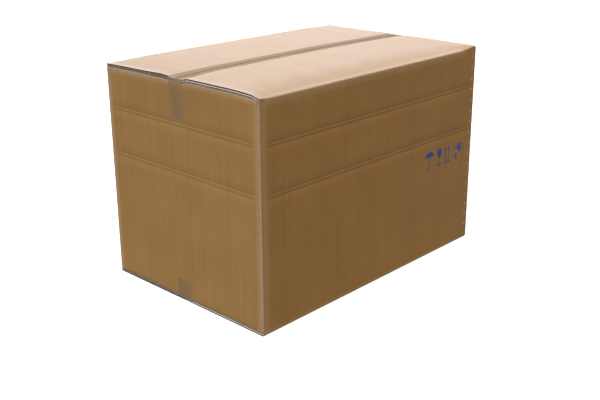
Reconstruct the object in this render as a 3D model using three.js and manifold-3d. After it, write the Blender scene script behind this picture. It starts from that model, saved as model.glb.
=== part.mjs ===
// A large closed shipping carton of triple wall corrugated board, in millimetres, +Z up.
// It is folded from one sheet: four panels, a lap joint at one corner held by a row of wire
// staples, and eight flaps that are folded shut and taped along the seam on top and below.
// The origin is the middle of the underside. +X runs along the length and +Y across the width.
// The long panel with the printed handling marks faces -Y, and its lap joint is at +X.

import * as THREE from "three";
import { mergeVertices } from "three/addons/utils/BufferGeometryUtils.js";
import Module from "manifold-3d";

// Driving dimensions of the carton
const innerLength = 1200;
const innerWidth = 780;
const foldTop = 836; // from the underside to the top of the long panels' upper folds
const board = 12.5; // thickness of the triple wall board
const crown = 6; // how far the outer top flaps swell up between their folds and the seam
const crownRun = 140; // how far in from the fold the swelling reaches its full height
const cornerInnerRadius = 3.5; // inside radius of the upright folds
const foldInnerRadius = 1.5; // inside radius of the flaps' folds
const layerGap = 0.3; // air between layers of the sheet that lie on each other
const flapSeam = 5; // open seam between the two outer flaps
const slotClearance = 2; // from the end of an inner flap's fold to the upright fold beside it
const flapInset = 3; // how far the outer flaps' cut ends lie inside the end panels' faces

// The flutings that show as channels in the cut edges of the board
const liner = 0.9; // thickness of the paper on each side of a fluting
const fluteShares = [3, 2, 2]; // how the three flutings share the board, from the outer face in
const fluteDepth = 3; // depth of a channel in from the cut edge
const fluteStop = 4; // board left closed between the channels and a flap's free edge

// The creases that let the carton be cut down to a lower height
const creaseDrops = [160, 336]; // from the top of the folds down to the middle of each crease
const creaseSpacing = 11; // between the two grooves of one crease
const grooveWidth = 6;
const grooveDepth = 1;
const creaseEndSetback = 32; // the grooves stop this far from the upright edges

// The lap joint, inside the long panel, and its wire staples
const lapWidth = 50;
const lapFoldInnerRadius = 0.5;
const lapEndSetback = 18; // the lap is this much shorter than the panel at each end
const stapleCount = 17;
const stapleTopDrop = 44; // from the top of the folds down to the middle of the highest staple
const stapleLowRise = 64; // from the underside up to the middle of the lowest staple
const stapleInset = 6; // from the inner face of the end panel to the middle of a staple
const stapleLength = 12;
const stapleTurn = 45; // degrees that the staple's crown rises by
const stapleTip = 4; // the bent end that holds each leg inside the carton
const wireWidth = 2.2;
const wireThickness = 0.6;
const stapleClearance = 0.3;

// The adhesive tape over both seams
const tapeWidth = 75;
const tapeThickness = 0.25;
const tapeBend = 2; // radius where the tape turns over the flaps' ends
const topTapeShift = 4.5; // how far each tape lies off the seam, in Y
const bottomTapeShift = 9;
const tapeTopDrop = 146; // how far the top tape comes down each end, from the fold height
const tapeBottomRise = 85; // how far the bottom tape comes up each end
const tapeRecessDepth = 0.5; // the bottom tape is pressed this deep into the flaps
const tapeRecessClearance = 0.5; // on each side of the bottom tape

// The printed handling marks, in a row that starts at the joint edge
const inkThickness = 0.25;
const inkStroke = 4; // thickness of the marks' lines
const markBase = 376; // height of the marks' lower ends
const markHeight = 70;
const markMargin = 47; // from the joint edge to the first mark
const sunWidth = 82;
const arrowsWidth = 50;
const glassWidth = 30;
const umbrellaWidth = 60;
const sunToArrows = 16;
const arrowsToGlass = 14;
const glassToUmbrella = 22;

// Values worked out from the driving dimensions
const halfLength = innerLength / 2 + board;
const halfWidth = innerWidth / 2 + board;
const topHeight = foldTop + crown;
const cornerRadius = board + cornerInnerRadius;
const foldRadius = board + foldInnerRadius;
const lapFoldRadius = board + lapFoldInnerRadius;
const flapLength = halfWidth - flapSeam / 2;
const innerFlapDrop = board + layerGap; // the inner flaps lie this far inside the outer ones
const wallLow = foldRadius;
const wallHigh = foldTop - foldRadius;
const endWallLow = innerFlapDrop + foldRadius;
const endWallHigh = foldTop - innerFlapDrop - foldRadius;
const lapFace = -halfWidth + innerFlapDrop; // outer face of the lap
const endPanelStart = lapFace + lapFoldRadius; // where the joint end panel leaves the lap's fold
const stapleThrough = 2 * board + layerGap + stapleClearance; // depth of the staples' bent tips
const overlap = 1; // how far shapes that are joined reach into each other
const arcSteps = 8;

const wasm = await Module();
wasm.setup();

function toSolid(geometry) {
  const bare = new THREE.BufferGeometry();
  bare.setAttribute("position", geometry.getAttribute("position"));
  if (geometry.index) bare.setIndex(geometry.index);
  const merged = mergeVertices(bare, 1e-5);
  return new wasm.Manifold(new wasm.Mesh({
    numProp: 3,
    vertProperties: new Float32Array(merged.getAttribute("position").array),
    triVerts: new Uint32Array(merged.index.array),
  }));
}

function toGeometry(solid) {
  const mesh = solid.getMesh();
  const geometry = new THREE.BufferGeometry();
  geometry.setAttribute("position", new THREE.BufferAttribute(mesh.vertProperties.slice(), 3));
  geometry.setIndex(new THREE.BufferAttribute(mesh.triVerts.slice(), 1));
  geometry.computeVertexNormals();
  return geometry;
}

function span(a, b) {
  return [Math.min(a, b), Math.max(a, b)];
}

function toPoints(pairs) {
  return pairs.map(([x, y]) => new THREE.Vector2(x, y));
}

// Points of a round or oval arc between two angles in degrees, both ends included
function arc(centreX, centreY, radius, from, to, steps = arcSteps, radiusY = radius) {
  return Array.from({ length: steps + 1 }, (_, i) => {
    const angle = THREE.MathUtils.degToRad(from + ((to - from) * i) / steps);
    return new THREE.Vector2(centreX + radius * Math.cos(angle), centreY + radiusY * Math.sin(angle));
  });
}

// One closed outline from several stretches, without the points that repeat where they meet
function outline(...stretches) {
  const points = stretches.flat();
  return points.filter((p, i) => p.distanceTo(points[(i + 1) % points.length]) > 1e-4);
}

function prism(points, depth) {
  return new THREE.ExtrudeGeometry(new THREE.Shape(points), { depth, bevelEnabled: false });
}

// A prism along X, from an outline in Y and Z
function alongX(points, [low, high]) {
  const stand = new THREE.Matrix4().makeBasis(
    new THREE.Vector3(0, 1, 0), new THREE.Vector3(0, 0, 1), new THREE.Vector3(1, 0, 0));
  return prism(points, high - low).applyMatrix4(stand).translate(low, 0, 0);
}

// A prism along Y, from an outline in X and Z
function alongY(points, [low, high]) {
  const stand = new THREE.Matrix4().makeBasis(
    new THREE.Vector3(1, 0, 0), new THREE.Vector3(0, 0, 1), new THREE.Vector3(0, -1, 0));
  return prism(points, high - low).applyMatrix4(stand).translate(0, high, 0);
}

function block(...ranges) {
  const size = ranges.map(([low, high]) => high - low);
  const middle = ranges.map(([low, high]) => (low + high) / 2);
  return toSolid(new THREE.BoxGeometry(...size).translate(...middle));
}

// The sheet's plan at the height of the walls: one strip of board, from the joint's cut edge
// round three upright folds to where the last end panel turns into the lap
function wallPlan() {
  const cx = halfLength - cornerRadius;
  const cy = halfWidth - cornerRadius;
  const face = (depth) => [
    new THREE.Vector2(halfLength, -halfWidth + depth),
    ...arc(-cx, -cy, cornerRadius - depth, 270, 180),
    ...arc(-cx, cy, cornerRadius - depth, 180, 90),
    ...arc(cx, cy, cornerRadius - depth, 90, 0),
    new THREE.Vector2(halfLength - depth, endPanelStart),
  ];
  return outline(face(0), face(board).reverse());
}

function lapPlan() {
  const cx = halfLength - lapFoldRadius;
  const face = (depth) => [
    new THREE.Vector2(halfLength - depth, endPanelStart + overlap),
    ...arc(cx, endPanelStart, lapFoldRadius - depth, 0, -90),
    new THREE.Vector2(cx - lapWidth, lapFace + depth),
  ];
  return outline(face(0), face(board).reverse());
}

// A flap with its fold, in section: x runs inwards from the panel's outer face, and y outwards
// from the fold's outer side. The layer lies between two depths in the board.
function flapSection([from, to], reach, swell) {
  const steps = swell > 0 ? arcSteps : 0;
  const run = Array.from({ length: steps }, (_, i) => (i + 1) / steps);
  const face = (depth) => [
    new THREE.Vector2(depth, -foldRadius - overlap),
    ...arc(foldRadius, -foldRadius, foldRadius - depth, 180, 90),
    ...run.map((t) => (
      new THREE.Vector2(foldRadius + crownRun * t, swell * Math.sin((t * Math.PI) / 2) - depth)
    )),
    new THREE.Vector2(reach, swell - depth),
  ];
  return outline(face(from), face(to).reverse());
}

// An outer flap on a long panel, or one layer of it. side is -1 or 1 in Y, level is top or bottom.
function outerFlap(side, level, xRange, layer = [0, board], reach = flapLength) {
  const top = level === "top";
  const section = flapSection(layer, reach, top ? crown : 0);
  const place = (p) => new THREE.Vector2(side * (halfWidth - p.x), top ? foldTop + p.y : -p.y);
  return toSolid(alongX(section.map(place), xRange));
}

// An inner flap on an end panel. side is -1 or 1 in X.
function innerFlap(side, level, yRange) {
  const top = level === "top";
  const section = flapSection([0, board], flapLength, 0);
  const height = (h) => (top ? foldTop - innerFlapDrop + h : innerFlapDrop - h);
  const place = (p) => new THREE.Vector2(side * (halfLength - p.x), height(p.y));
  return toSolid(alongY(section.map(place), yRange));
}

// Where an end panel is flat, between the folds beside it
function endPanelRange(side) {
  return [side > 0 ? endPanelStart : -halfWidth + cornerRadius, halfWidth - cornerRadius];
}

function folded() {
  let sheet = toSolid(prism(wallPlan(), wallHigh - wallLow).translate(0, 0, wallLow));
  for (const side of [-1, 1]) {
    const faces = span(side * (halfLength + overlap), side * (halfLength - board - overlap));
    const [yLow, yHigh] = endPanelRange(side);
    const reach = [side > 0 ? yLow - overlap : yLow, yHigh];
    sheet = sheet.subtract(block(faces, reach, [endWallHigh, wallHigh + overlap]));
    sheet = sheet.subtract(block(faces, reach, [wallLow - overlap, endWallLow]));
  }
  const lapLow = endWallLow + lapEndSetback;
  const lapHigh = endWallHigh - lapEndSetback;
  sheet = sheet.add(toSolid(prism(lapPlan(), lapHigh - lapLow).translate(0, 0, lapLow)));
  for (const side of [-1, 1]) {
    const [yLow, yHigh] = endPanelRange(side);
    for (const level of ["top", "bottom"]) {
      sheet = sheet.add(innerFlap(side, level, [yLow + slotClearance, yHigh - slotClearance]));
      sheet = sheet.add(outerFlap(side, level, [-halfLength + flapInset, halfLength - flapInset]));
    }
  }
  return sheet;
}

// The depths in the board where each fluting starts and ends
function fluteLayers() {
  const total = fluteShares.reduce((a, b) => a + b);
  const room = board - (fluteShares.length + 1) * liner;
  let depth = liner;
  return fluteShares.map((share) => {
    const layer = [depth, depth + (room * share) / total];
    depth = layer[1] + liner;
    return layer;
  });
}

// The open flutings in the outer flaps' cut ends and in the long panel's upright cut edge
function openFlutings() {
  const cuts = [];
  for (const [from, to] of fluteLayers()) {
    for (const end of [-1, 1]) {
      const edge = halfLength - flapInset;
      const range = span(end * (edge - fluteDepth), end * (edge + overlap));
      for (const side of [-1, 1]) {
        for (const level of ["top", "bottom"]) {
          cuts.push(outerFlap(side, level, range, [from, to], flapLength - fluteStop));
        }
      }
    }
    const depths = [-halfWidth + from, -halfWidth + to];
    cuts.push(block([halfLength - fluteDepth, halfLength + overlap], depths, [wallLow, wallHigh]));
  }
  return cuts;
}

// The outline of a V-shaped groove in a face that lies this far from the middle
function grooveSection(face, height) {
  const out = Math.sign(face);
  const half = (grooveWidth / 2) * (1 + overlap / grooveDepth);
  return toPoints([
    [face - out * grooveDepth, height],
    [face + out * overlap, height - half],
    [face + out * overlap, height + half],
  ]);
}

function creases() {
  const along = [-halfLength + creaseEndSetback, halfLength - creaseEndSetback];
  const across = [-halfWidth + creaseEndSetback, halfWidth - creaseEndSetback];
  const cuts = [];
  for (const drop of creaseDrops) {
    for (const step of [-creaseSpacing / 2, creaseSpacing / 2]) {
      const height = foldTop - drop + step;
      for (const side of [-1, 1]) {
        cuts.push(toSolid(alongX(grooveSection(side * halfWidth, height), along)));
        cuts.push(toSolid(alongY(grooveSection(side * halfLength, height), across)));
      }
    }
  }
  return cuts;
}

// The X and Z of each staple's middle on the outer face of the long panel
function staplePlaces() {
  const high = foldTop - stapleTopDrop;
  const pitch = (high - stapleLowRise) / (stapleCount - 1);
  return Array.from({ length: stapleCount }, (_, i) => (
    [halfLength - board - stapleInset, high - i * pitch]
  ));
}

// A prism as thick as depth, from one half of a staple's outline, stood up at its place:
// the outline's x rises along the crown, and its y goes into the board
function stapleShape(half, depth, [x, z]) {
  const mirrored = half.map(([px, py]) => [-px, py]).reverse();
  const turn = THREE.MathUtils.degToRad(stapleTurn);
  const stand = new THREE.Matrix4().makeBasis(
    new THREE.Vector3(Math.cos(turn), 0, Math.sin(turn)),
    new THREE.Vector3(0, 1, 0),
    new THREE.Vector3(-Math.sin(turn), 0, Math.cos(turn)));
  return prism(toPoints([...half, ...mirrored]), depth)
    .translate(0, 0, -depth / 2).applyMatrix4(stand).translate(x, -halfWidth, z);
}

// Flat wire bent to a staple: a crown level with the board's face, two legs and their bent tips
function staple(place) {
  const outside = stapleLength / 2;
  const inside = outside - wireThickness;
  const end = stapleThrough + wireThickness;
  const half = [
    [outside, 0],
    [outside, end],
    [inside - stapleTip, end],
    [inside - stapleTip, stapleThrough],
    [inside, stapleThrough],
    [inside, wireThickness],
  ];
  return stapleShape(half, wireWidth, place);
}

// The room that a staple takes in the board: a shallow seat for its crown and two holes
function stapleRoom(place) {
  const outside = stapleLength / 2 + stapleClearance;
  const inside = stapleLength / 2 - wireThickness - stapleClearance;
  const end = stapleThrough + overlap;
  const seat = wireThickness + stapleClearance;
  const half = [[outside, -overlap], [outside, end], [inside, end], [inside, seat]];
  return toSolid(stapleShape(half, wireWidth + 2 * stapleClearance, place));
}

function tapeRecess() {
  const half = tapeWidth / 2 + tapeRecessClearance;
  const reach = halfLength + overlap;
  const across = [bottomTapeShift - half, bottomTapeShift + half];
  return block([-reach, reach], across, [-overlap, tapeRecessDepth]);
}

function carton() {
  const cuts = [...openFlutings(), ...creases(), ...staplePlaces().map(stapleRoom), tapeRecess()];
  return toGeometry(cuts.reduce((sheet, cut) => sheet.subtract(cut), folded()));
}

// A tape over the flaps at the given height and round both ends of the carton. out is 1 for the
// tape on top and -1 for the one below, end is the height where it stops on the ends, and shift
// is its place across the seam.
function tape(flapHeight, end, out, shift) {
  const face = (lift) => {
    const bend = arc(-halfLength + tapeBend, 0, tapeBend + lift, 180, 90)
      .map((p) => new THREE.Vector2(p.x, flapHeight + out * (p.y - tapeBend)));
    const half = [new THREE.Vector2(-halfLength - lift, end), ...bend];
    return [...half, ...half.map((p) => new THREE.Vector2(-p.x, p.y)).reverse()];
  };
  const section = outline(face(0), face(tapeThickness).reverse());
  return alongY(section, [shift - tapeWidth / 2, shift + tapeWidth / 2]);
}

// The marks are drawn with the middle of their base line at the origin, x to the right and y up.
function bar(left, right, low, high) {
  return toPoints([[left, low], [right, low], [right, high], [left, high]]);
}

function ink(outlines, fromEdge) {
  const solids = outlines.map((points) => toSolid(alongY(points, [-inkThickness, 0])));
  const joined = solids.reduce((whole, piece) => whole.add(piece));
  return toGeometry(joined).translate(halfLength - fromEdge, -halfWidth, markBase);
}

// Keep dry: an umbrella with a scalloped hem and a hooked handle
function umbrella(fromEdge) {
  const radius = umbrellaWidth / 2;
  const domeRise = 0.34 * markHeight;
  const brim = markHeight - domeRise;
  const scallop = radius / 3;
  const scallopRise = scallop / 3;
  const hook = 0.12 * markHeight;
  const canopy = outline(
    arc(0, brim, radius, 0, 180, 20, domeRise),
    ...[-2, 0, 2].map((step) => arc(step * scallop, brim, scallop, 180, 0, 6, scallopRise)));
  const hookCentre = [inkStroke / 2 - hook, hook];
  const handle = outline(
    arc(...hookCentre, hook, 0, -180, 12),
    arc(...hookCentre, hook - inkStroke, -180, 0, 12));
  const stem = bar(-inkStroke / 2, inkStroke / 2, hook - overlap, markHeight - overlap);
  return ink([canopy, stem, handle], fromEdge);
}

// Fragile: a glass with a cracked rim
function glass(fromEdge) {
  const radius = glassWidth / 2;
  const bowlLow = 0.48 * markHeight;
  const foot = radius;
  const crackDepth = 0.13 * markHeight;
  const bowl = [
    ...arc(0, bowlLow + radius, radius, 180, 360, 16),
    ...toPoints([
      [radius, markHeight],
      [0.5 * radius, markHeight],
      [0.05 * radius, markHeight - crackDepth],
      [0.2 * radius, markHeight],
      [-radius, markHeight],
    ]),
  ];
  const stem = bar(-inkStroke / 2, inkStroke / 2, overlap, bowlLow + overlap);
  return ink([bowl, stem, bar(-foot, foot, 0, inkStroke)], fromEdge);
}

// This way up: two arrows on a bar
function arrows(fromEdge) {
  const spacing = 0.46 * arrowsWidth;
  const head = 0.16 * arrowsWidth;
  const neck = markHeight - 2 * head;
  const outlines = [bar(-arrowsWidth / 2, arrowsWidth / 2, 0, inkStroke)];
  for (const x of [-spacing / 2, spacing / 2]) {
    outlines.push(bar(x - inkStroke / 2, x + inkStroke / 2, inkStroke - overlap, neck + overlap));
    outlines.push(toPoints([[x - head, neck], [x + head, neck], [x, markHeight]]));
  }
  return ink(outlines, fromEdge);
}

// Keep away from heat: a sun whose rays reach less far up than to the sides. The shelter that
// it shines on is drawn below it on the left.
const sunRise = 0.64 * markHeight;
const sunRadius = 0.13 * sunWidth;
const roofCentre = [-0.2 * sunWidth, 0.03 * markHeight];
const roofRadius = 0.26 * sunWidth;

function sun(fromEdge) {
  const rayCount = 16;
  const rayHeight = markHeight - sunRise;
  const shaded = [180, 290]; // the directions where the shelter is
  const outlines = [outline(arc(0, sunRise, sunRadius, 0, 360, 2 * rayCount))];
  for (let angle = 0; angle < 360; angle += 360 / rayCount) {
    if (angle > shaded[0] && angle < shaded[1]) continue;
    const turn = THREE.MathUtils.degToRad(angle);
    const reach = 1 / Math.hypot(Math.cos(turn) / (sunWidth / 2), Math.sin(turn) / rayHeight);
    const ray = bar(sunRadius / 2, reach, -inkStroke / 3, inkStroke / 3);
    const centre = new THREE.Vector2();
    outlines.push(ray.map((p) => p.rotateAround(centre, turn).add(new THREE.Vector2(0, sunRise))));
  }
  return ink(outlines, fromEdge);
}

function shelter(fromEdge) {
  const [x, y] = roofCentre;
  const roof = outline(
    arc(x, y, roofRadius, 160, 50, 10),
    arc(x, y, roofRadius - inkStroke, 50, 160, 10));
  const goods = bar(x - 1.5 * inkStroke, x + 1.5 * inkStroke, 0, 3 * inkStroke);
  const post = bar(x - inkStroke / 3, x + inkStroke / 3, 3 * inkStroke - overlap, y + roofRadius - overlap);
  return ink([roof, goods, post], fromEdge);
}

// The finishes, one for each kind of material
const kraft = new THREE.MeshStandardMaterial({ name: "kraft_board", color: 0xa98258, roughness: 0.85, metalness: 0 });
const film = new THREE.MeshStandardMaterial({ name: "tape_film", color: 0x9a7a52, roughness: 0.25, metalness: 0 });
const wire = new THREE.MeshStandardMaterial({ name: "staple_wire", color: 0xc9b3a0, roughness: 0.35, metalness: 1 });
const blueInk = new THREE.MeshStandardMaterial({ name: "blue_ink", color: 0x173f73, roughness: 0.8, metalness: 0 });

const model = new THREE.Group();

function addPiece(name, geometry, material) {
  const mesh = new THREE.Mesh(geometry, material);
  mesh.name = name;
  model.add(mesh);
}

addPiece("carton", carton(), kraft);
addPiece("top_tape", tape(topHeight, foldTop - tapeTopDrop, 1, topTapeShift), film);
addPiece("bottom_tape", tape(tapeRecessDepth, tapeBottomRise, -1, bottomTapeShift), film);
staplePlaces().forEach((place, i) => {
  addPiece(`staple_${String(i + 1).padStart(2, "0")}`, staple(place), wire);
});

const sunPlace = markMargin + sunWidth / 2;
const arrowsPlace = sunPlace + (sunWidth + arrowsWidth) / 2 + sunToArrows;
const glassPlace = arrowsPlace + (arrowsWidth + glassWidth) / 2 + arrowsToGlass;
const umbrellaPlace = glassPlace + (glassWidth + umbrellaWidth) / 2 + glassToUmbrella;
addPiece("mark_umbrella", umbrella(umbrellaPlace), blueInk);
addPiece("mark_glass", glass(glassPlace), blueInk);
addPiece("mark_arrows", arrows(arrowsPlace), blueInk);
addPiece("mark_sun", sun(sunPlace), blueInk);
addPiece("mark_shelter", shelter(sunPlace), blueInk);

export default model;
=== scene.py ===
# %% [markdown]
# # A large taped carton of triple wall board
# The real object is one big sheet of corrugated board that is creased, slotted, folded round to a
# tube, stapled along one corner, and closed with tape. This lesson dresses the measured solid of
# that carton. Each step first says what the piece is on the real carton, and then how it is made.
# The solids are the measured truth, so every piece here takes its place and size from them.

import math

import bmesh
import bpy
from mathutils import Matrix, Vector, noise


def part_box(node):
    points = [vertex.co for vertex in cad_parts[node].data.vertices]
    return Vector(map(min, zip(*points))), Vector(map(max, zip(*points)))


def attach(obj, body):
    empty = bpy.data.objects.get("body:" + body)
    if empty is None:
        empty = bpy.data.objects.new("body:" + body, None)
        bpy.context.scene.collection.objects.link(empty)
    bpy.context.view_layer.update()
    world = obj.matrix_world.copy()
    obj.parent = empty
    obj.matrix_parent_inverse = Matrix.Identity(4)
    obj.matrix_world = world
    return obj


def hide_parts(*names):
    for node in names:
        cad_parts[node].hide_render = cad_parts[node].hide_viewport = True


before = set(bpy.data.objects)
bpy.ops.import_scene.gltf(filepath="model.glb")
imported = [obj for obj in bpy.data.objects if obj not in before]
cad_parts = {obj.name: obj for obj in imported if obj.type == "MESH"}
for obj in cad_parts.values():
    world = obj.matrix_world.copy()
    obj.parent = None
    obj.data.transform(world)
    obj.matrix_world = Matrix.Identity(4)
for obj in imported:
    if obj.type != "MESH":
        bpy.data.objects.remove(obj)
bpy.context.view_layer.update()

# %% [markdown]
# ## Sizes
# Board thickness and fold radii are what the whole carton is made from. At a fold in board this
# thick, the outer paper turns on a small round, and the inner papers are crushed to a sharp corner.
# The outside sizes are read from the solid, so that nothing here has to be fitted to it. The last
# two are the distances within which two places, or two points, count as one.

# %% Sizes of the sheet
carton_low, carton_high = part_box("carton")
half_length = carton_high.x
half_width = carton_high.y
board = 0.0125
crown = 0.006
fold_top = carton_high.z - crown
fold_radius = 0.0055
corner_radius = 0.006
lap_inner_radius = 0.0005
lap_fold_radius = board + lap_inner_radius
layer_gap = 0.0003
inner_drop = board + layer_gap
flap_edge = 0.003
flap_inset = 0.0015
flap_end = half_length - flap_inset
slot_gap = 0.002
lap_width = 0.05
lap_setback = 0.018
tape_low, tape_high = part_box("top_tape")
bottom_tape_low, bottom_tape_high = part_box("bottom_tape")
staple_low, staple_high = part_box("staple_01")
staple_line = (staple_low.x + staple_high.x) / 2
hair = 0.00005
weld = 0.00002
print("outside length and width:", round(2 * half_length, 4), round(2 * half_width, 4))

# %% [markdown]
# ## Camera
# The camera comes first, so that each later step can be judged in the photograph's own view. Its
# place was worked out from the carton's corners. It looks down a little, from the left end. The
# lens shift only puts the picture's middle where the photograph has it.

# %% Make the camera
camera_place = Vector((-2.4796, -2.3605, 1.4868))
camera_heading = math.radians(41.886)
camera_dip = math.radians(18.700)
camera_roll = math.radians(0.248)
camera_lens = 53.55
camera_shift = (-0.0438, -0.0375)
film_width = 36


def make_camera():
    ahead = Vector((
        math.cos(camera_dip) * math.cos(camera_heading),
        math.cos(camera_dip) * math.sin(camera_heading),
        -math.sin(camera_dip)))
    level = ahead.cross(Vector((0, 0, 1))).normalized()
    upright = level.cross(ahead)
    right = level * math.cos(camera_roll) + upright * math.sin(camera_roll)
    up = upright * math.cos(camera_roll) - level * math.sin(camera_roll)
    camera = bpy.data.objects.new("camera", bpy.data.cameras.new("camera"))
    camera.matrix_world = Matrix((right, up, -ahead)).transposed().to_4x4()
    camera.location = camera_place
    camera.data.sensor_width = film_width
    camera.data.lens = camera_lens
    camera.data.shift_x, camera.data.shift_y = camera_shift
    bpy.context.collection.objects.link(camera)
    bpy.context.scene.camera = camera
    return camera


camera = make_camera()
print("camera at", [round(v, 2) for v in camera.location])

# %% [markdown]
# ## The folded sheet
# The real carton is one sheet, so the mesh is one sheet too. It could be cut from thick blocks, but
# a sheet is quicker and truer: its outer face is swept from a few points, the folds are beveled
# round, and the thickness is given at the end. First come helpers that sweep a line of points and
# grow an open edge.

# %% Helpers that sweep and grow a sheet
def new_points(result):
    return [item for item in result["geom"] if isinstance(item, bmesh.types.BMVert)]


def sweep_line(sheet, line, sweep):
    corners = [sheet.verts.new(point) for point in line]
    edges = [sheet.edges.new(pair) for pair in zip(corners, corners[1:])]
    grown = bmesh.ops.extrude_edge_only(sheet, edges=edges)
    bmesh.ops.translate(sheet, verts=new_points(grown), vec=sweep)


def middle(edge):
    return (edge.verts[0].co + edge.verts[1].co) / 2


def open_edges(sheet, chosen):
    return [e for e in sheet.edges if e.is_boundary and chosen(middle(e))]


def grow_edges(sheet, chosen, sweep):
    grown = bmesh.ops.extrude_edge_only(sheet, edges=open_edges(sheet, chosen))
    bmesh.ops.translate(sheet, verts=new_points(grown), vec=sweep)


def spin_edges(sheet, chosen, centre, degrees):
    edges = open_edges(sheet, chosen)
    ends = list({v for e in edges for v in e.verts})
    bmesh.ops.spin(sheet, geom=edges + ends, cent=centre, axis=(0, 0, 1),
                   angle=math.radians(degrees), steps=8, use_merge=False)


def near(a, b):
    return abs(a - b) < hair


# %% [markdown]
# ## Panels and flaps
# Each long panel and its two outer flaps are one line of four points, swept along the length. Each
# end panel and its two inner flaps are a second one, swept across the width. The end panels' flaps
# lie inside the long panels' flaps, so their folds sit one board lower.

# %% Sweep the panels with their flaps
flat_end = half_length - corner_radius
flat_side = half_width - corner_radius
joint_side = -half_width + inner_drop + lap_fold_radius
end_fold_low = inner_drop
end_fold_high = fold_top - inner_drop

sheet = bmesh.new()
for side in (-1, 1):
    section = [(flap_edge, 0), (half_width, 0), (half_width, fold_top), (flap_edge, fold_top)]
    sweep_line(sheet, [(-flat_end, side * across, z) for across, z in section], (2 * flat_end, 0, 0))
for side, first in ((-1, -flat_side), (1, joint_side)):
    tip = half_length - half_width + flap_edge
    section = [(tip, end_fold_low), (half_length, end_fold_low),
               (half_length, end_fold_high), (tip, end_fold_high)]
    start = first + slot_gap
    sweep_line(sheet, [(side * along, start, z) for along, z in section],
               (0, flat_side - slot_gap - start, 0))


def is_fold(edge):
    ends = [v.co for v in edge.verts]
    on_long = all(near(abs(p.y), half_width) and (near(p.z, 0) or near(p.z, fold_top)) for p in ends)
    on_end = all(near(abs(p.x), half_length)
                 and (near(p.z, end_fold_low) or near(p.z, end_fold_high)) for p in ends)
    return on_long or on_end


folds = [e for e in sheet.edges if is_fold(e)]
bmesh.ops.bevel(sheet, geom=folds, offset=fold_radius, affect="EDGES", segments=8,
                profile=0.5, material=-1)
print("folds:", len(folds), "faces after rounding them:", len(sheet.faces))

# %% [markdown]
# ## Corners, slots and the lap
# The upright folds are spun round their own axes, a quarter turn each. The slots cut in the sheet
# end a little above the walls, so the flaps' ends reach out over the round corners. At the fourth
# corner nothing is folded: the end panel turns into a lap that lies inside the long panel.

# %% Grow the corners, the flaps' ends and the lap
wall_low = fold_radius
wall_high = fold_top - fold_radius
end_wall_low = end_fold_low + fold_radius
end_wall_high = end_fold_high - fold_radius
lap_low = end_wall_low + lap_setback
lap_high = end_wall_high - lap_setback


def on_wall(p):
    return wall_low < p.z < wall_high


def cut_across(sheet, axis, places):
    normal = Vector((0, 0, 0))
    normal[axis] = 1
    for place in places:
        bmesh.ops.bisect_plane(sheet, geom=sheet.verts[:] + sheet.edges[:] + sheet.faces[:],
                               dist=weld / 2, plane_co=normal * place, plane_no=normal)


for end in (-1, 1):
    ear = flap_end - flat_end
    grow_edges(sheet, lambda p: near(p.x, end * flat_end) and not on_wall(p), (end * ear, 0, 0))
grow_edges(sheet, lambda p: near(p.x, flat_end) and p.y < 0 and on_wall(p), (ear, 0, 0))
grow_edges(sheet, lambda p: near(p.x, flap_end) and p.y < 0 and on_wall(p),
           (half_length - flap_end, 0, 0))
for end, side in ((-1, -1), (-1, 1), (1, 1)):
    spin_edges(sheet, lambda p: (near(p.x, end * flat_end) and near(p.y, side * half_width)
                                 and on_wall(p)),
               (end * flat_end, side * flat_side, 0), -90 * end * side)
for end, first in ((-1, -flat_side), (1, joint_side)):
    grow_edges(sheet, lambda p: near(p.x, end * half_length) and near(p.y, first + slot_gap),
               (0, -slot_gap, 0))
    grow_edges(sheet, lambda p: near(p.x, end * half_length) and near(p.y, flat_side - slot_gap),
               (0, slot_gap, 0))
cut_across(sheet, 2, (end_wall_low, lap_low, lap_high, end_wall_high))
lap_start = half_length - lap_fold_radius
spin_edges(sheet, lambda p: (near(p.x, half_length) and near(p.y, joint_side)
                             and lap_low < p.z < lap_high),
           (lap_start, joint_side, 0), -90)
grow_edges(sheet, lambda p: near(p.x, lap_start) and lap_low < p.z < lap_high, (-lap_width, 0, 0))
bmesh.ops.remove_doubles(sheet, verts=sheet.verts, dist=weld)
bmesh.ops.recalc_face_normals(sheet, faces=sheet.faces)
print("faces with corners, ears and lap:", len(sheet.faces))

# %% [markdown]
# ## A grid to shape
# The sheet needs points wherever it bends. Planes that cut through the whole carton give an even
# grid with no loose joins, closer together at the creases, the seam and the ends.

# %% Cut the grid
crease_drops = (0.165, 0.341)
crease_heights = [fold_top - drop for drop in crease_drops]
crease_spacing = 0.014
groove_half = 0.004
groove_depth = 0.0011
groove_setback = 0.032
groove_taper = 0.008
groove_shares = (-1, -0.4, 0, 0.4, 1)
grooves = [h + step * crease_spacing / 2 for h in crease_heights for step in (-1, 1)]
groove_rows = [g + share * groove_half for g in grooves for share in groove_shares]


def filled(places, spacing):
    places = sorted(places)
    rows = [places[-1]]
    for low, high in zip(places, places[1:]):
        count = max(1, round((high - low) / spacing))
        rows += [low + (high - low) * i / count for i in range(count)]
    return sorted(rows)


grid_spacing = 0.024
round_row = 0.003
channel_stop = 0.0066
seam_rows = [channel_stop, 0.02, 0.034, 0.042, 0.050, 0.08]


def groove_ends(reach):
    return [reach - groove_setback, reach - groove_setback - groove_taper]


along_fixed = [flat_end - round_row] + groove_ends(half_length)
across_fixed = [flat_side - round_row] + groove_ends(half_width) + seam_rows
press_reach = 0.008
press_rows = [staple_line + s * v for v in (press_reach, press_reach / 2) for s in (-1, 1)]
both_ends = [s * v for v in along_fixed for s in (-1, 1)]
x_rows = filled(both_ends + press_rows + [staple_line], grid_spacing)
y_rows = filled([s * v for v in across_fixed for s in (-1, 1)], grid_spacing)
z_rows = filled([end_wall_low, end_wall_high, *groove_rows], grid_spacing)
for axis, rows in enumerate((x_rows, y_rows, z_rows)):
    cut_across(sheet, axis, rows)
print("grid faces:", len(sheet.faces))

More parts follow.
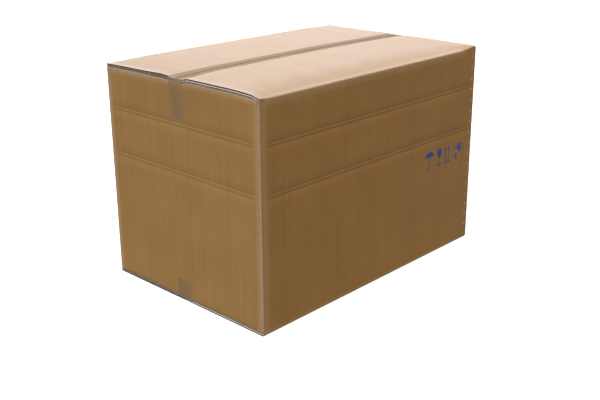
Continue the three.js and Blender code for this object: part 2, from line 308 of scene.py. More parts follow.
# %% [markdown]
# ## Swelling, creases and small unevenness
# A taped carton of this size is never flat. The outer flaps ride up over the inner ones and swell
# towards the seam, and at both ends the tape pulls the seam down again. The near long fold sags and
# the far corners drop a little. The walls sink in between their edges, the creases are pressed in as
# pairs of shallow grooves, and the upright folds are crushed. First come the sizes of all this.

# %% Sizes of the unevenness
near_swell_run = 0.14
far_swell_run = 0.30
flat_start = 0.05
flat_fade = 0.5
flat_share = 0.9
pull_reach = 0.10
left_seam_dip = 0.0066
right_seam_dip = 0.0035
near_pull, near_pull_fade = 0.054, 0.018
far_pull, far_pull_fade = 0.072, 0.055
flap_ripple = 0.0004
near_fold_gap = 0.0012
far_fold_gap = 0.0030
fold_sag = 0.010
left_sag, left_sag_reach = 0.0055, 0.05
right_sag, right_sag_reach = 0.0015, 0.10
end_sag_run = 0.03
more_sag_run, more_sag_reach = 0.09, 0.12
corner_sag, corner_sag_reach = 0.004, 0.2
panel_sink = 0.0014
panel_level = 1.2
panel_margin, panel_rim = 0.02, 0.14
wave_scale = 2.3
ripple_scale = 6
groove_floor = 1.1
corner_crush, crush_reach, crush_fade = 0.0036, 0.034, 0.024
sharp_share = 0.25
staple_press = 0.0008
print("swell, sag and crush, in metres:", crown, fold_sag, corner_crush)

# %% [markdown]
# The flaps' rise is one function of the place, because the folds, the walls and the tape all follow
# it. The end panels' folds are pushed up or down to the flaps above them.

# %% How far the flaps and folds rise
def soft_step(t):
    t = min(max(t, 0), 1)
    return t * t * (3 - 2 * t)


def arch(t):
    return math.sin(min(max(t, 0), 1) * math.pi / 2)


def from_end(x):
    return flap_end - abs(x)


def near_sag(x, inwards):
    at_end, reach = (left_sag, left_sag_reach) if x < 0 else (right_sag, right_sag_reach)
    here = at_end + (fold_sag - at_end) * soft_step(from_end(x) / reach)
    run = end_sag_run + more_sag_run * soft_step(from_end(x) / more_sag_reach)
    return here * (1 - arch(inwards / run))


def far_sag(x, y):
    at_end = 1 - soft_step(from_end(x) / corner_sag_reach)
    return corner_sag * at_end * soft_step(y / corner_sag_reach)


def seam_dip(x, y):
    deepest = left_seam_dip if x < 0 else right_seam_dip
    taped = math.exp(-(from_end(x) / pull_reach) ** 2)
    if y < 0:
        return deepest * taped * soft_step((near_pull - abs(y)) / near_pull_fade)
    return deepest * taped * soft_step((far_pull - y) / far_pull_fade)


def flap_rise(x, y):
    inwards = half_width - abs(y) - fold_radius
    share = arch(inwards / (near_swell_run if y < 0 else far_swell_run))
    swell = crown * share * (1 - flat_share * soft_step((x - flat_start) / flat_fade))
    sag = near_sag(x, inwards) if y < 0 else far_sag(x, y)
    flap_seed = 3.1
    ripple = flap_ripple * (1 + noise.noise((x * ripple_scale, y * ripple_scale, flap_seed)))
    return swell - sag - seam_dip(x, y) - ripple


def fold_lift(x, y):
    gap = near_fold_gap if y < 0 else far_fold_gap
    rise = flap_rise(math.copysign(flap_end, x), y)
    return rise - gap if rise > gap else min(rise, 0)


print("rise in the middle of a flap, in metres:", round(flap_rise(0, half_width / 2), 4))

# %% [markdown]
# The walls' own unevenness is a dip inwards. It is the sum of a wide soft sink, the creases, and the
# crushed strip beside each upright fold. At the stapled joint nothing is folded, so there the staples
# press the board in instead.

# %% How far the walls dip
def panel_dip(along, up, reach, seed):
    from_fold = min(up - panel_margin, fold_top - panel_margin - up)
    rim = soft_step((reach - abs(along)) / panel_rim) * soft_step(from_fold / panel_rim)
    waves = noise.noise((along * wave_scale + seed, up * wave_scale, seed))
    waves += 0.4 * noise.noise((along * ripple_scale, up * ripple_scale, seed))
    return panel_sink * rim * (panel_level + waves)


def corner_dip(along, reach):
    depth = corner_crush if along < 0 else corner_crush * sharp_share
    return depth * min(max((abs(along) - (reach - crush_reach)) / crush_fade, 0), 1)


def groove_dip(along, up, reach):
    run = soft_step((reach - groove_setback - abs(along)) / groove_taper)
    deepest = max(0, 1 - min(abs(up - g) for g in grooves) / groove_half)
    return groove_depth * run * soft_step(deepest * groove_floor)


def end_dip(side, y, z):
    end_seed = 5 + side
    return panel_dip(y, z, half_width, end_seed) + groove_dip(y, z, half_width) + corner_dip(y, half_width)


def long_dip(side, x, z):
    long_seed = 9 + side
    dip = panel_dip(x, z, half_length, long_seed) + groove_dip(x, z, half_length)
    if side < 0 < x:
        # Here the staples press the board in; this share moves the wall and paints nothing.
        press_and_shade = soft_step(1 - abs(x - staple_line) / press_reach)
        return dip + staple_press * press_and_shade
    return dip + corner_dip(x, half_length)


print("dip of the long panel's middle, in metres:", round(long_dip(-half_width, 0, fold_top / 2), 4))

# %% [markdown]
# Each point of the flat sheet now gets one shift. The dips move the walls inwards, and the rise moves
# the flaps. The walls' upper part stretches with the folds above it, and the bottom flaps have a
# shallow seat for their tape.

# %% Shift the whole sheet
stretch_start = 0.7
tape_seat = 0.0004
tape_seat_rim = 0.010
tape_seat_fade = 0.008
bottom_tape_middle = (bottom_tape_low.y + bottom_tape_high.y) / 2
tape_seat_reach = (bottom_tape_high.y - bottom_tape_low.y) / 2 + tape_seat_rim


def dipped(p):
    at_joint = near(p.y, -half_width) and p.x > 0
    if near(abs(p.x), half_length) and not at_joint:
        p.x -= math.copysign(end_dip(math.copysign(half_length, p.x), p.y, p.z), p.x)
    elif near(abs(p.y), half_width) and on_wall(p):
        p.y -= math.copysign(long_dip(math.copysign(half_width, p.y), p.x, p.z), p.y)
    elif near(p.z, 0):
        from_middle = abs(p.y - bottom_tape_middle)
        p.z += tape_seat * soft_step((tape_seat_reach - from_middle) / tape_seat_fade)


def shaped(p):
    p = p.copy()
    dipped(p)
    outer = abs(p.y) > flat_side or near(p.z, fold_top)
    stretch = p.z - stretch_start
    if outer and p.z > wall_high + 2 * hair:
        p.z += flap_rise(p.x, p.y)
    elif stretch > 0 and abs(p.y) < flat_side - slot_gap / 2:
        p.z += fold_lift(p.x, p.y) * soft_step(stretch / (end_wall_high - stretch_start))
    elif stretch > 0 and abs(p.y) > flat_side:
        rise = flap_rise(p.x, math.copysign(half_width, p.y))
        p.z += rise * stretch / (wall_high - stretch_start)
    return p


flat_places = [v.co.copy() for v in sheet.verts]
shifts = [shaped(place) - place for place in flat_places]
print("largest shift, in millimetres:", round(1000 * max(s.length for s in shifts), 2))

# %% [markdown]
# ## Thickness
# The sheet gets its thickness all at once, inwards from the outer face. A Solidify modifier does
# that on the whole folded sheet, and its rim faces are the board's cut edges, so they take a paper
# of their own. The modifier's result is read back as a mesh, because the cut edges need more work.
# At the folds the inner points would cross, so they are tucked into one sharp corner, as the crushed
# board is. Then each outer point and its inner partner get the same shift, which keeps the board's
# thickness even.

# %% Thicken the sheet
def sheet_object(name, sheet):
    mesh = bpy.data.meshes.new(name)
    sheet.to_mesh(mesh)
    sheet.free()
    piece = bpy.data.objects.new(name, mesh)
    bpy.context.collection.objects.link(piece)
    return piece


def plain_material(name):
    material = bpy.data.materials.new(name)
    material.use_nodes = True
    return material


# The third material is near black painted shade for the deep flutes and the seam's cut edge.
kraft = plain_material("kraft_liner")
cut_paper = plain_material("cut_paper")
flute_shade = plain_material("painted_flute_shade")
board_papers = (kraft, cut_paper, flute_shade)


def thickened(sheet, name, thickness, offset, papers):
    flat = sheet_object(name, sheet)
    for material in papers:
        flat.data.materials.append(material)
    modifier = flat.modifiers.new("thickness", "SOLIDIFY")
    modifier.thickness = thickness
    modifier.offset = offset
    modifier.use_even_offset = True
    modifier.use_quality_normals = True
    modifier.material_offset_rim = min(1, len(papers) - 1)
    solid = bmesh.new()
    solid.from_object(flat, bpy.context.evaluated_depsgraph_get())
    bpy.data.objects.remove(flat)
    solid.verts.ensure_lookup_table()
    return solid


def held(value, limit):
    return min(max(value, -limit), limit)


def tucked(inner, outer):
    between_folds = end_fold_low - hair <= outer.z <= end_fold_high + hair
    end_part = abs(outer.y) < flat_side - slot_gap / 2 and between_folds
    at_joint = outer.x > 0 and outer.y < -flat_side
    low, high = (end_fold_low, end_fold_high) if end_part else (0, fold_top)
    x = held(inner.x, half_length - board) if end_part or (on_wall(outer) and not at_joint) else inner.x
    return Vector((x, held(inner.y, half_width - board), min(max(inner.z, low + board), high - board)))


outer_count = len(sheet.verts)
solid = thickened(sheet, "flat_sheet", board, -1, board_papers)
for index, (place, shift) in enumerate(zip(flat_places, shifts)):
    inner = solid.verts[index + outer_count]
    inner.co = tucked(inner.co, place) + shift
    solid.verts[index].co = place + shift
print("faces of the thick sheet:", len(solid.faces))

# %% [markdown]
# ## The open flutings
# The cut ends of the outer flaps show what triple wall board is: four papers with three flutings
# between them. The flutings run along these cuts, so each one shows as a long channel. The rim
# faces are split at the papers, and the three channels are pushed in. They are deeper and shallower
# as the cut wanders through the waves, and crushed shut under the tape.

# %% Split the cut ends at the papers
liner = 0.0009
flute_shares = (3, 2, 2)
flute_room = board - 4 * liner
levels = [0]
for share in flute_shares:
    levels.append(levels[-1] + liner)
    levels.append(levels[-1] + flute_room * share / sum(flute_shares))
levels += [board - liner, board]
levels = [level / board for level in sorted(set(round(v, 7) for v in levels))]


def on_cut_end(face):
    return (face.material_index == 1 and abs(face.normal.x) > 0.9
            and abs(face.calc_center_median().x) > flat_end
            and abs(face.calc_center_median().y) > channel_stop)


def split_rim(solid):
    depth = solid.verts.layers.float.new("depth")
    outside = solid.verts.layers.float_vector.new("outside")
    inside = solid.verts.layers.float_vector.new("inside")
    rim = [f for f in solid.faces if on_cut_end(f)]
    across = set()
    for face in rim:
        for edge in face.edges:
            a, b = sorted(edge.verts, key=lambda v: v.index)
            if a.index < outer_count <= b.index:
                across.add(edge)
                b[depth] = 1
                for vert in (a, b):
                    vert[outside] = a.co
                    vert[inside] = b.co
    bmesh.ops.subdivide_edges(solid, edges=list(across), cuts=len(levels) - 2, use_grid_fill=True)
    for vert in solid.verts:
        if 0.001 < vert[depth] < 0.999:
            level = levels[round(vert[depth] * (len(levels) - 1))]
            vert.co = vert[outside].lerp(vert[inside], level)
    return depth


depth = split_rim(solid)
print("papers and flutings, as shares of the board:", [round(v, 3) for v in levels])

# %% [markdown]
# The near flaps' middle flute is cut close to a wave's crest, so it shows as a pale stripe. The far
# flaps' three flutes are all open. Along the seam the flaps are cut across the flutes, and that edge
# is nearly all shadow, so it takes a near black painted flute shade, as the deeper channels do.

# %% Push the channels in
near_depths = (0.0062, 0.0011, 0.0052)
far_depths = (0.0050, 0.0034, 0.0046)
depth_swings = (0.35, 0.5, 0.4)
# Channels deeper than this take the near black painted flute shade.
painted_shade_depth = 0.002
wander_scale = Vector((5, 9, 3))
row_apart = 7
taped_share = 0.25
taped_half = 0.03


def channel_depth(p, row):
    base = near_depths[row] if p.y < 0 else far_depths[row]
    place = abs(p.y) * wander_scale.y + p.z * wander_scale.z + row * row_apart
    wander = 1 + depth_swings[row] * noise.noise((place, p.x * wander_scale.x, row))
    crushed = taped_share + (1 - taped_share) * soft_step((abs(p.y) - taped_half) / taped_half)
    return base * wander * (crushed if p.z > wall_high else 1)


# The seam's cut edges take the painted flute shade.
for face in solid.faces:
    if face.material_index == 1 and abs(face.calc_center_median().y) < flap_edge + 2 * hair:
        face.material_index = 2
for row in range(len(flute_shares)):
    first = 2 * row + 1
    marks = [k / (len(levels) - 1) for k in (first, first + 1)]
    channel = [f for f in solid.faces if on_cut_end(f) and all(
        min(abs(v[depth] - m) for m in marks) < 0.01 for v in f.verts)]
    grown = bmesh.ops.extrude_face_region(solid, geom=channel)
    moved = set(new_points(grown))
    for vert in moved:
        vert.co.x -= math.copysign(channel_depth(vert.co, row), vert.co.x)
    bmesh.ops.delete(solid, geom=[f for f in channel if f.is_valid], context="FACES")
    # Channels deeper than a set depth take the painted flute shade.
    for face in {f for v in moved for f in v.link_faces}:
        if channel_depth(face.calc_center_median(), row) > painted_shade_depth:
            face.material_index = 2
bmesh.ops.remove_doubles(solid, verts=solid.verts, dist=weld)
bmesh.ops.dissolve_degenerate(solid, edges=solid.edges, dist=weld / 2)
print("faces with the channels:", len(solid.faces))

# %% [markdown]
# ## Wear, painted highlight, painted shade and smooth shading
# Two numbers are painted on the mesh, and the paper's finish reads them. The first is wear and painted
# highlight: the paper is rubbed pale on the corners, and the crushed bands beside them and the round of
# the top folds are painted pale as a highlight. The second is painted shade: the grooves that a creasing
# wheel pressed in are painted darker, and so are the end panels' folds where they lie in the flaps'
# shade. Then soft folds are shaded smooth, and an edge stays sharp where its faces meet at more than
# a set angle.

# %% Paint the numbers and shade
worn_reach = 0.009
worn_fade = 0.006
band_reach = 0.036
band_fade = 0.010
# Painted highlight: the pale bands beside the upright corners and along the round of the top folds.
band_highlight = 0.8
end_band_share = 1.4
fold_highlight = 0.7
fold_reach = 0.024
fold_fade = 0.016
# Painted shade: how dark the crease grooves and the end panels' top folds under the flaps are painted.
end_groove_shade = 0.35
fold_shade = 0.7
fold_shade_reach = 0.02
fold_shade_start = 0.002
fold_shade_fade = 0.006
under_flap_drop = 0.008
soft_angle = 38


# Wear and painted highlight: real rubbing on the corners, plus painted highlight in the bands and top
# folds.
def wear_and_highlight_at(p):
    x_gap = half_length - abs(p.x)
    y_gap = half_width - abs(p.y)
    z_gap = min(p.z, fold_top - p.z)
    if p.x > half_length - 2 * band_reach and p.y < -flat_side + band_reach:
        return 0
    edge = soft_step((worn_reach - math.hypot(y_gap, min(x_gap, max(z_gap, 0)))) / worn_fade)
    band = band_highlight * soft_step((band_reach - max(x_gap, end_band_share * y_gap)) / band_fade)
    if p.z <= wall_high - fold_reach:
        return max(edge, band)
    from_fold = max(min(x_gap, y_gap), z_gap - inner_drop)
    return max(edge, band, fold_highlight * soft_step((fold_reach - from_fold) / fold_fade))


# Painted shade: the crease grooves and the end panels' top folds in the flaps' shade are painted darker.
def painted_shade_at(p):
    on_end = half_length - abs(p.x) < half_width - abs(p.y)
    along, reach, most = (p.y, half_width, end_groove_shade) if on_end else (p.x, half_length, 1)
    groove = most * groove_dip(along, p.z, reach) / groove_depth
    if half_length - abs(p.x) >= fold_shade_reach or p.z >= fold_top - under_flap_drop:
        return groove
    return max(groove, fold_shade * soft_step((p.z - end_wall_high - fold_shade_start) / fold_shade_fade))


# Paints two numbers: wear with painted highlight, and painted shade.
def paint(solid):
    for name, measure in (("wear_and_highlight", wear_and_highlight_at), ("press_and_shade", painted_shade_at)):
        layer = solid.verts.layers.float.new(name)
        for vert in solid.verts:
            vert[layer] = measure(vert.co)


def shade(shape):
    for face in shape.faces:
        face.smooth = True
    for edge in shape.edges:
        if len(edge.link_faces) == 2:
            edge.smooth = edge.calc_face_angle(0) < math.radians(soft_angle)


def dressed(name, shape, materials, slot, *nodes):
    shade(shape)
    piece = sheet_object(name, shape)
    for material in materials:
        piece.data.materials.append(material)
    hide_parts(*nodes)
    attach(piece, "root")
    return piece


paint(solid)
for layers in (solid.verts.layers.float, solid.verts.layers.float_vector):
    for name in ("depth", "outside", "inside"):
        if name in layers:
            layers.remove(layers[name])
folded_board = dressed("folded_board", solid, board_papers, "kraft_board", "carton")
print("triangles:", sum(len(p.vertices) - 2 for p in folded_board.data.polygons))

# %% [markdown]
# ## Tape
# The real tape is a thin clear brown film. It follows the flaps, sags a little into the open seam,
# turns over both ends and sticks to the end panels. So it is swept from six points like the board,
# cut at the board's own grid lines, laid on the board by the same shape functions, and then given
# its thickness.

# %% Lay the tape
film_lift = 0.00012
film_thickness = 0.0001
film_turn = 0.018
film_bend = 0.0025
film_edge = flap_end + 0.0002
seam_sag = 0.0005
seam_sag_reach = 0.004
seam_sag_fade = 0.003
film_rows = [-seam_sag_reach, -0.0025, 0, 0.0025, seam_sag_reach]
tape_film = plain_material("tape_film")


def laid_film(p, face, step, over_top):
    share = min(max(1 - (face - p.z) / step, 0), 1)
    side = math.copysign(half_length, p.x)
    lift = flap_rise(held(p.x, flap_end), p.y) if over_top else 0
    sag = seam_sag * soft_step((seam_sag_reach - abs(p.y)) / seam_sag_fade) * share
    dip = end_dip(side, p.y, p.z) * (1 - soft_step(share * 3))
    inwards = math.copysign(1, step)
    return Vector((p.x - math.copysign(dip, p.x), p.y, p.z + lift * share - inwards * sag))


def tape_over(name, node, over_top):
    low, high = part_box(node)
    side = half_length + film_lift
    face = fold_top + film_lift if over_top else tape_seat - film_lift
    tail = low.z if over_top else high.z
    step = film_turn if over_top else -film_turn
    line = [(-side, low.y, tail), (-side, low.y, face - step), (-film_edge, low.y, face),
            (film_edge, low.y, face), (side, low.y, face - step), (side, low.y, tail)]
    film = bmesh.new()
    sweep_line(film, line, (0, high.y - low.y, 0))
    turns = [e for e in film.edges if all(near(abs(v.co.x), film_edge) for v in e.verts)]
    bmesh.ops.bevel(film, geom=turns, offset=film_bend, affect="EDGES", segments=5,
                    profile=0.5, material=-1)
    cut_across(film, 0, [x for x in x_rows if abs(x) < film_edge - film_bend])
    cut_across(film, 1, [y for y in y_rows if low.y < y < high.y] + film_rows)
    cut_across(film, 2, [z for z in z_rows if min(tail, face - step) < z < max(tail, face - step)])
    bmesh.ops.recalc_face_normals(film, faces=film.faces)
    middle_face = min(film.faces, key=lambda f: abs(f.calc_center_median().x))
    if middle_face.normal.z * step < 0:
        bmesh.ops.reverse_faces(film, faces=film.faces)
    for vert in film.verts:
        vert.co = laid_film(vert.co, face, step, over_top)
    thick = thickened(film, "flat_film", film_thickness, 1, (tape_film,))
    return dressed(name, thick, (tape_film,), "tape_film", node)


top_film = tape_over("top_tape_film", "top_tape", True)
bottom_film = tape_over("bottom_tape_film", "bottom_tape", False)
print("tape faces:", len(top_film.data.polygons), len(bottom_film.data.polygons))

# %% [markdown]
# ## Staples and printed marks
# The staples' solids already have the right form, but real wire has no sharp edges. Each one is
# copied, its loose triangles are merged, and its edges get a tiny bevel. The marks are ink that
# follows the board, so each copy is cut at the board's grid lines and pressed in with it.

# %% Copy the staples and the marks
wire_round = 0.00015
wire_weld = 0.000005
flat_angle = 1
sharp_angle = 50
staple_wire = plain_material("staple_wire")
blue_ink = plain_material("blue_ink")


def copied(node):
    shape = bmesh.new()
    shape.from_mesh(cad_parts[node].data)
    bmesh.ops.remove_doubles(shape, verts=shape.verts, dist=wire_weld)
    return shape


def rounded_staple(node):
    wire = copied(node)
    bmesh.ops.dissolve_limit(wire, angle_limit=math.radians(flat_angle), verts=wire.verts, edges=wire.edges)
    joined = [e for e in wire.edges if len(e.link_faces) == 2]
    sharp = [e for e in joined if e.calc_face_angle(0) > math.radians(sharp_angle)]
    bmesh.ops.bevel(wire, geom=sharp, offset=wire_round, affect="EDGES", segments=2,
                    profile=0.5, material=-1)
    return dressed(node.replace("staple", "staple_wire"), wire, (staple_wire,), "staple_wire", node)


def printed_mark(node):
    ink = copied(node)
    low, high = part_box(node)
    cut_across(ink, 0, [x for x in x_rows if low.x < x < high.x])
    cut_across(ink, 2, [z for z in z_rows if low.z < z < high.z])
    for vert in ink.verts:
        vert.co.y += long_dip(-half_width, vert.co.x, vert.co.z)
    return dressed(node.replace("mark", "print"), ink, (blue_ink,), "blue_ink", node)


staples = [rounded_staple(n) for n in sorted(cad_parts) if n.startswith("staple_")]
prints = [printed_mark(n) for n in sorted(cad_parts) if n.startswith("mark_")]
print("staples:", len(staples), "marks:", len(prints))

# %% [markdown]
# ## Finishes
# Every finish is built from noise in the object's own metres, so it has the right scale and can't
# slide. One helper adds a node and links or sets its inputs, which keeps each recipe short.

# %% Helpers for finishes
def add(material, kind, inputs=None, **settings):
    item = material.node_tree.nodes.new("ShaderNode" + kind)
    for name, value in settings.items():
        setattr(item, name, value)
    for name, value in (inputs or {}).items():
        if isinstance(value, bpy.types.NodeSocket):
            material.node_tree.links.new(value, item.inputs[name])
        else:
            item.inputs[name].default_value = value
    return item.outputs


def maths(material, operation, a, b=0.0):
    return add(material, "Math", {0: a, 1: b}, operation=operation)[0]


def blend_colours(material, share, first, second):
    return add(material, "Mix", {0: share, 6: first, 7: second}, data_type="RGBA")[2]


def blend_numbers(material, share, first, second):
    return add(material, "Mix", {0: share, 2: first, 3: second}, data_type="FLOAT")[0]


def noise_at(material, place, scale, stretch=(1, 1, 1), detail=2.0):
    mapped = add(material, "Mapping", {"Vector": place, "Scale": stretch})[0]
    return add(material, "TexNoise", {"Vector": mapped, "Scale": scale, "Detail": detail})[0]


def ramp(material, value, low, high):
    return add(material, "MapRange", {"Value": value, "From Min": low, "From Max": high})[0]


def shader_of(material):
    return material.node_tree.nodes["Principled BSDF"]


def feed(material, **sockets):
    shader = shader_of(material)
    for name, value in sockets.items():
        material.node_tree.links.new(value, shader.inputs[name.replace("_", " ")])


# %% [markdown]
# ## Kraft liner
# The paper is brown kraft with the fluting showing through it as faint washboard lines. The lines
# run up the walls and across the top flaps. On the end panels they follow Y, and elsewhere X, so the
# two are swapped where the face looks along X. Fibres lie across the lines, and clouds of slightly
# darker paper cross both.

# %% Brown kraft paper
dark_kraft = (0.355, 0.174, 0.045, 1)
light_kraft = (0.415, 0.215, 0.062, 1)
# Pale paper for the rubbed corners, and also the colour of the painted highlight.
worn_and_lit_kraft = (0.57, 0.41, 0.25, 1)
# Dark paper for the painted shade in creases and folds, and for the small dark flecks.
shade_and_fleck_kraft = (0.25, 0.125, 0.036, 1)
flute_pitch = 0.0086


def flute_place(material):
    sources = add(material, "TexCoord")
    spot = add(material, "SeparateXYZ", {0: sources["Object"]})
    facing = add(material, "SeparateXYZ", {0: sources["Normal"]})
    swap = maths(material, "GREATER_THAN", maths(material, "ABSOLUTE", facing[0]), 0.7)
    across = blend_numbers(material, swap, spot[0], spot[1])
    other = blend_numbers(material, swap, spot[1], spot[0])
    place = add(material, "CombineXYZ", {0: across, 1: other, 2: spot[2]})[0]
    return sources["Object"], across, place


def finish_kraft(material):
    spot, across, place = flute_place(material)
    clouds = noise_at(material, spot, 7, detail=4.0)
    streaks = noise_at(material, place, 1, (70, 2, 2), detail=3.0)
    fibres = noise_at(material, place, 1, (160, 900, 900), detail=3.0)
    specks = noise_at(material, spot, 420, detail=1.0)
    wobble = maths(material, "MULTIPLY", noise_at(material, spot, 9), 0.004)
    turn = maths(material, "MULTIPLY", maths(material, "ADD", across, wobble), 2 * math.pi / flute_pitch)
    washboard = maths(material, "SINE", turn)
    share = maths(material, "MULTIPLY", clouds, 0.7)
    for part, weight in ((streaks, 0.8), (fibres, 0.5), (washboard, 0.05)):
        share = maths(material, "ADD", share, maths(material, "MULTIPLY", part, weight))
    share = ramp(material, share, 0.70, 1.30)
    colour = blend_colours(material, share, dark_kraft, light_kraft)
    # Painted shade: the crease grooves and the folds under the flaps are darkened towards this dark paper.
    press_and_shade = add(material, "Attribute", attribute_name="press_and_shade")["Fac"]
    colour = blend_colours(material, maths(material, "MULTIPLY", press_and_shade, 0.55), colour, shade_and_fleck_kraft)
    # Wear and painted highlight: rubbed corners, and bands and top folds painted pale as a highlight.
    wear_and_highlight = add(material, "Attribute", attribute_name="wear_and_highlight")["Fac"]
    patches = ramp(material, noise_at(material, spot, 60, detail=4.0), -0.2, 0.75)
    rubbed_and_lit = maths(material, "MULTIPLY", wear_and_highlight, patches)
    colour = blend_colours(material, maths(material, "MULTIPLY", rubbed_and_lit, 0.6), colour, worn_and_lit_kraft)
    # The flecks are real dark fibres in the paper.
    flecks = maths(material, "MULTIPLY", ramp(material, specks, 0.66, 0.78), 0.35)
    colour = blend_colours(material, flecks, colour, shade_and_fleck_kraft)
    height = maths(material, "ADD", maths(material, "MULTIPLY", washboard, 0.5), fibres)
    bump = add(material, "Bump", {"Height": height, "Strength": 0.5, "Distance": 0.00008})[0]
    feed(material, Base_Color=colour, Roughness=ramp(material, fibres, -1.2, 1.9), Normal=bump)
    shader_of(material).inputs["IOR"].default_value = 1.5
    shader_of(material).inputs["Specular IOR Level"].default_value = 0.32


finish_kraft(kraft)
print("kraft nodes:", len(kraft.node_tree.nodes))

# %% [markdown]
# ## Cut edges
# A cut through the board shows pale fuzzy paper ends, and deep flutings between them that are painted
# near black as painted shade. Both are the same recipe in two tones: long fibres along the cut, over a
# base colour.

# %% Papers of the cut edges
def finish_cut(material, dark, light, roughness):
    spot = add(material, "TexCoord")["Object"]
    torn = noise_at(material, spot, 1, (500, 90, 1400), detail=3.0)
    colour = blend_colours(material, ramp(material, torn, 0.3, 0.7), dark, light)
    bump = add(material, "Bump", {"Height": torn, "Strength": 0.7, "Distance": 0.0003})[0]
    feed(material, Base_Color=colour, Normal=bump)
    shader_of(material).inputs["Roughness"].default_value = roughness


finish_cut(cut_paper, (0.56, 0.46, 0.36, 1), (0.84, 0.72, 0.58, 1), 0.75)
# Near black painted shade for the deep flutes and the seam's cut edge.
finish_cut(flute_shade, (0.030, 0.017, 0.009, 1), (0.070, 0.041, 0.023, 1), 0.95)
shader_of(flute_shade).inputs["Specular IOR Level"].default_value = 0.05
shader_of(cut_paper).inputs["Specular IOR Level"].default_value = 0.15
print("cut papers:", cut_paper.name, flute_shade.name)

# %% [markdown]
# ## Tape, wire and ink
# The film is thin, brown and clear, and stuck down flat, so it takes most of its shine from the paper
# below. Over the open seam it has no paper behind it, so its colour there is painted near black as
# painted shade for the dark inside of the carton. The wire is flat coppered steel with fine scratches
# along it. The ink sits in the paper, so it is matt, and it misses the paper in small dry spots.

# %% Film, wire and ink
dark_film = (0.39, 0.26, 0.125, 1)
light_film = (0.47, 0.33, 0.17, 1)
# Painted shade: near black film colour over the open seam, for the dark inside below it.
painted_seam_shade = (0.05, 0.03, 0.015, 1)
dark_ink = (0.009, 0.075, 0.27, 1)
light_ink = (0.015, 0.11, 0.36, 1)


def finish_film(material):
    sources = add(material, "TexCoord")
    spot = sources["Object"]
    clouds = noise_at(material, spot, 1, (9, 60, 9), detail=3.0)
    colour = blend_colours(material, ramp(material, clouds, 0.3, 0.7), dark_film, light_film)
    from_seam = maths(material, "ABSOLUTE", add(material, "SeparateXYZ", {0: spot})[1])
    facing = add(material, "SeparateXYZ", {0: sources["Normal"]})
    upright = maths(material, "LESS_THAN", maths(material, "ABSOLUTE", facing[2]), 0.7)
    # Painted shade where the film lies over the open seam and is not stuck to paper.
    over_paper = ramp(material, from_seam, 0.0026, seam_sag_reach)
    stuck = maths(material, "MAXIMUM", over_paper, upright)
    colour = blend_colours(material, stuck, painted_seam_shade, colour)
    wrinkles = noise_at(material, spot, 1, (14, 160, 14), detail=3.0)
    bump = add(material, "Bump", {"Height": wrinkles, "Strength": 0.6, "Distance": 0.0004})[0]
    feed(material, Base_Color=colour, Roughness=ramp(material, clouds, -0.4, 2.2), Normal=bump)
    shader_of(material).inputs["Alpha"].default_value = 0.24
    shader_of(material).inputs["Specular IOR Level"].default_value = 0.0


def finish_wire(material):
    spot = add(material, "TexCoord")["Object"]
    scratches = noise_at(material, spot, 1, (900, 900, 5200), detail=2.0)
    colour = blend_colours(material, scratches, (0.86, 0.62, 0.50, 1), (0.97, 0.82, 0.72, 1))
    bump = add(material, "Bump", {"Height": scratches, "Strength": 0.3, "Distance": 0.00005})[0]
    feed(material, Base_Color=colour, Roughness=ramp(material, scratches, -0.6, 1.6), Normal=bump)
    shader_of(material).inputs["Metallic"].default_value = 0.35


def finish_ink(material):
    spot = add(material, "TexCoord")["Object"]
    dry = noise_at(material, spot, 420, detail=3.0)
    ink = blend_colours(material, noise_at(material, spot, 60), dark_ink, light_ink)
    colour = blend_colours(material, ramp(material, dry, 0.60, 0.72), ink, dark_kraft)
    bump = add(material, "Bump", {"Height": dry, "Strength": 0.4, "Distance": 0.0001})[0]
    feed(material, Base_Color=colour, Normal=bump)
    shader_of(material).inputs["Roughness"].default_value = 0.7


finish_film(tape_film)
finish_wire(staple_wire)
finish_ink(blue_ink)
print("finishes:", tape_film.name, staple_wire.name, blue_ink.name)

# %% [markdown]
# ## Floor, lights and world
# The photograph's ground and background are plain white. The floor glows a little, so it stays white
# to the horizon, and only the soft shadow at the carton's foot shows on it. Light comes from the
# upper left. A second soft light, far behind, gives the top its pale shine at this low angle. A
# third, high in front, shades the creases of the long panel.

# %% Studio
floor_glow = 0.62
floor_size = 400


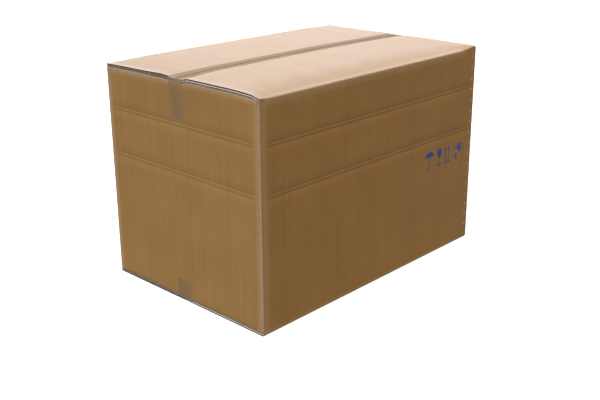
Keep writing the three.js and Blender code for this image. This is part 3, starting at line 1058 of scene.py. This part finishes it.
def make_floor():
    bpy.ops.mesh.primitive_plane_add(size=floor_size, location=(0, 0, -0.0003))
    floor = bpy.context.object
    floor.name = "floor"
    material = plain_material("floor_white")
    shader = shader_of(material)
    shader.inputs["Base Color"].default_value = (0.85, 0.85, 0.85, 1)
    shader.inputs["Roughness"].default_value = 0.9
    shader.inputs["Specular IOR Level"].default_value = 0.1
    shader.inputs["Emission Color"].default_value = (1, 1, 1, 1)
    shader.inputs["Emission Strength"].default_value = floor_glow
    floor.data.materials.append(material)
    floor.visible_diffuse = False
    floor.visible_glossy = False


def make_sun(name, heading, height, width, strength, tint=(1, 1, 1)):
    data = bpy.data.lights.new(name, "SUN")
    data.energy = strength
    data.angle = math.radians(width)
    data.color = tint
    lamp = bpy.data.objects.new(name, data)
    bearing, rise = math.radians(heading), math.radians(height)
    level = math.cos(rise)
    towards = Vector((math.cos(bearing) * level, math.sin(bearing) * level, math.sin(rise)))
    lamp.rotation_euler = towards.to_track_quat("Z", "Y").to_euler()
    bpy.context.collection.objects.link(lamp)


def make_world(strength):
    world = bpy.data.worlds.new("studio")
    bpy.context.scene.world = world
    world.use_nodes = True
    tree = world.node_tree
    light = tree.nodes["Background"]
    light.inputs["Color"].default_value = (1, 0.97, 0.91, 1)
    light.inputs["Strength"].default_value = strength
    seen = tree.nodes.new("ShaderNodeBackground")
    seen.inputs["Color"].default_value = (1, 1, 1, 1)
    choice = tree.nodes.new("ShaderNodeMixShader")
    rays = tree.nodes.new("ShaderNodeLightPath")
    tree.links.new(rays.outputs["Is Camera Ray"], choice.inputs[0])
    tree.links.new(light.outputs[0], choice.inputs[1])
    tree.links.new(seen.outputs[0], choice.inputs[2])
    tree.links.new(choice.outputs[0], tree.nodes["World Output"].inputs["Surface"])


make_floor()
make_sun("key_light", 181, 48, 35, 1.85, (0.96, 1.10, 1.42))
make_sun("side_light", 262, 60, 30, 0.80)
make_sun("back_light", 42, 27, 50, 2.4, (0.93, 1.0, 1.10))
make_world(0.33)
bpy.context.scene.view_settings.view_transform = "Standard"
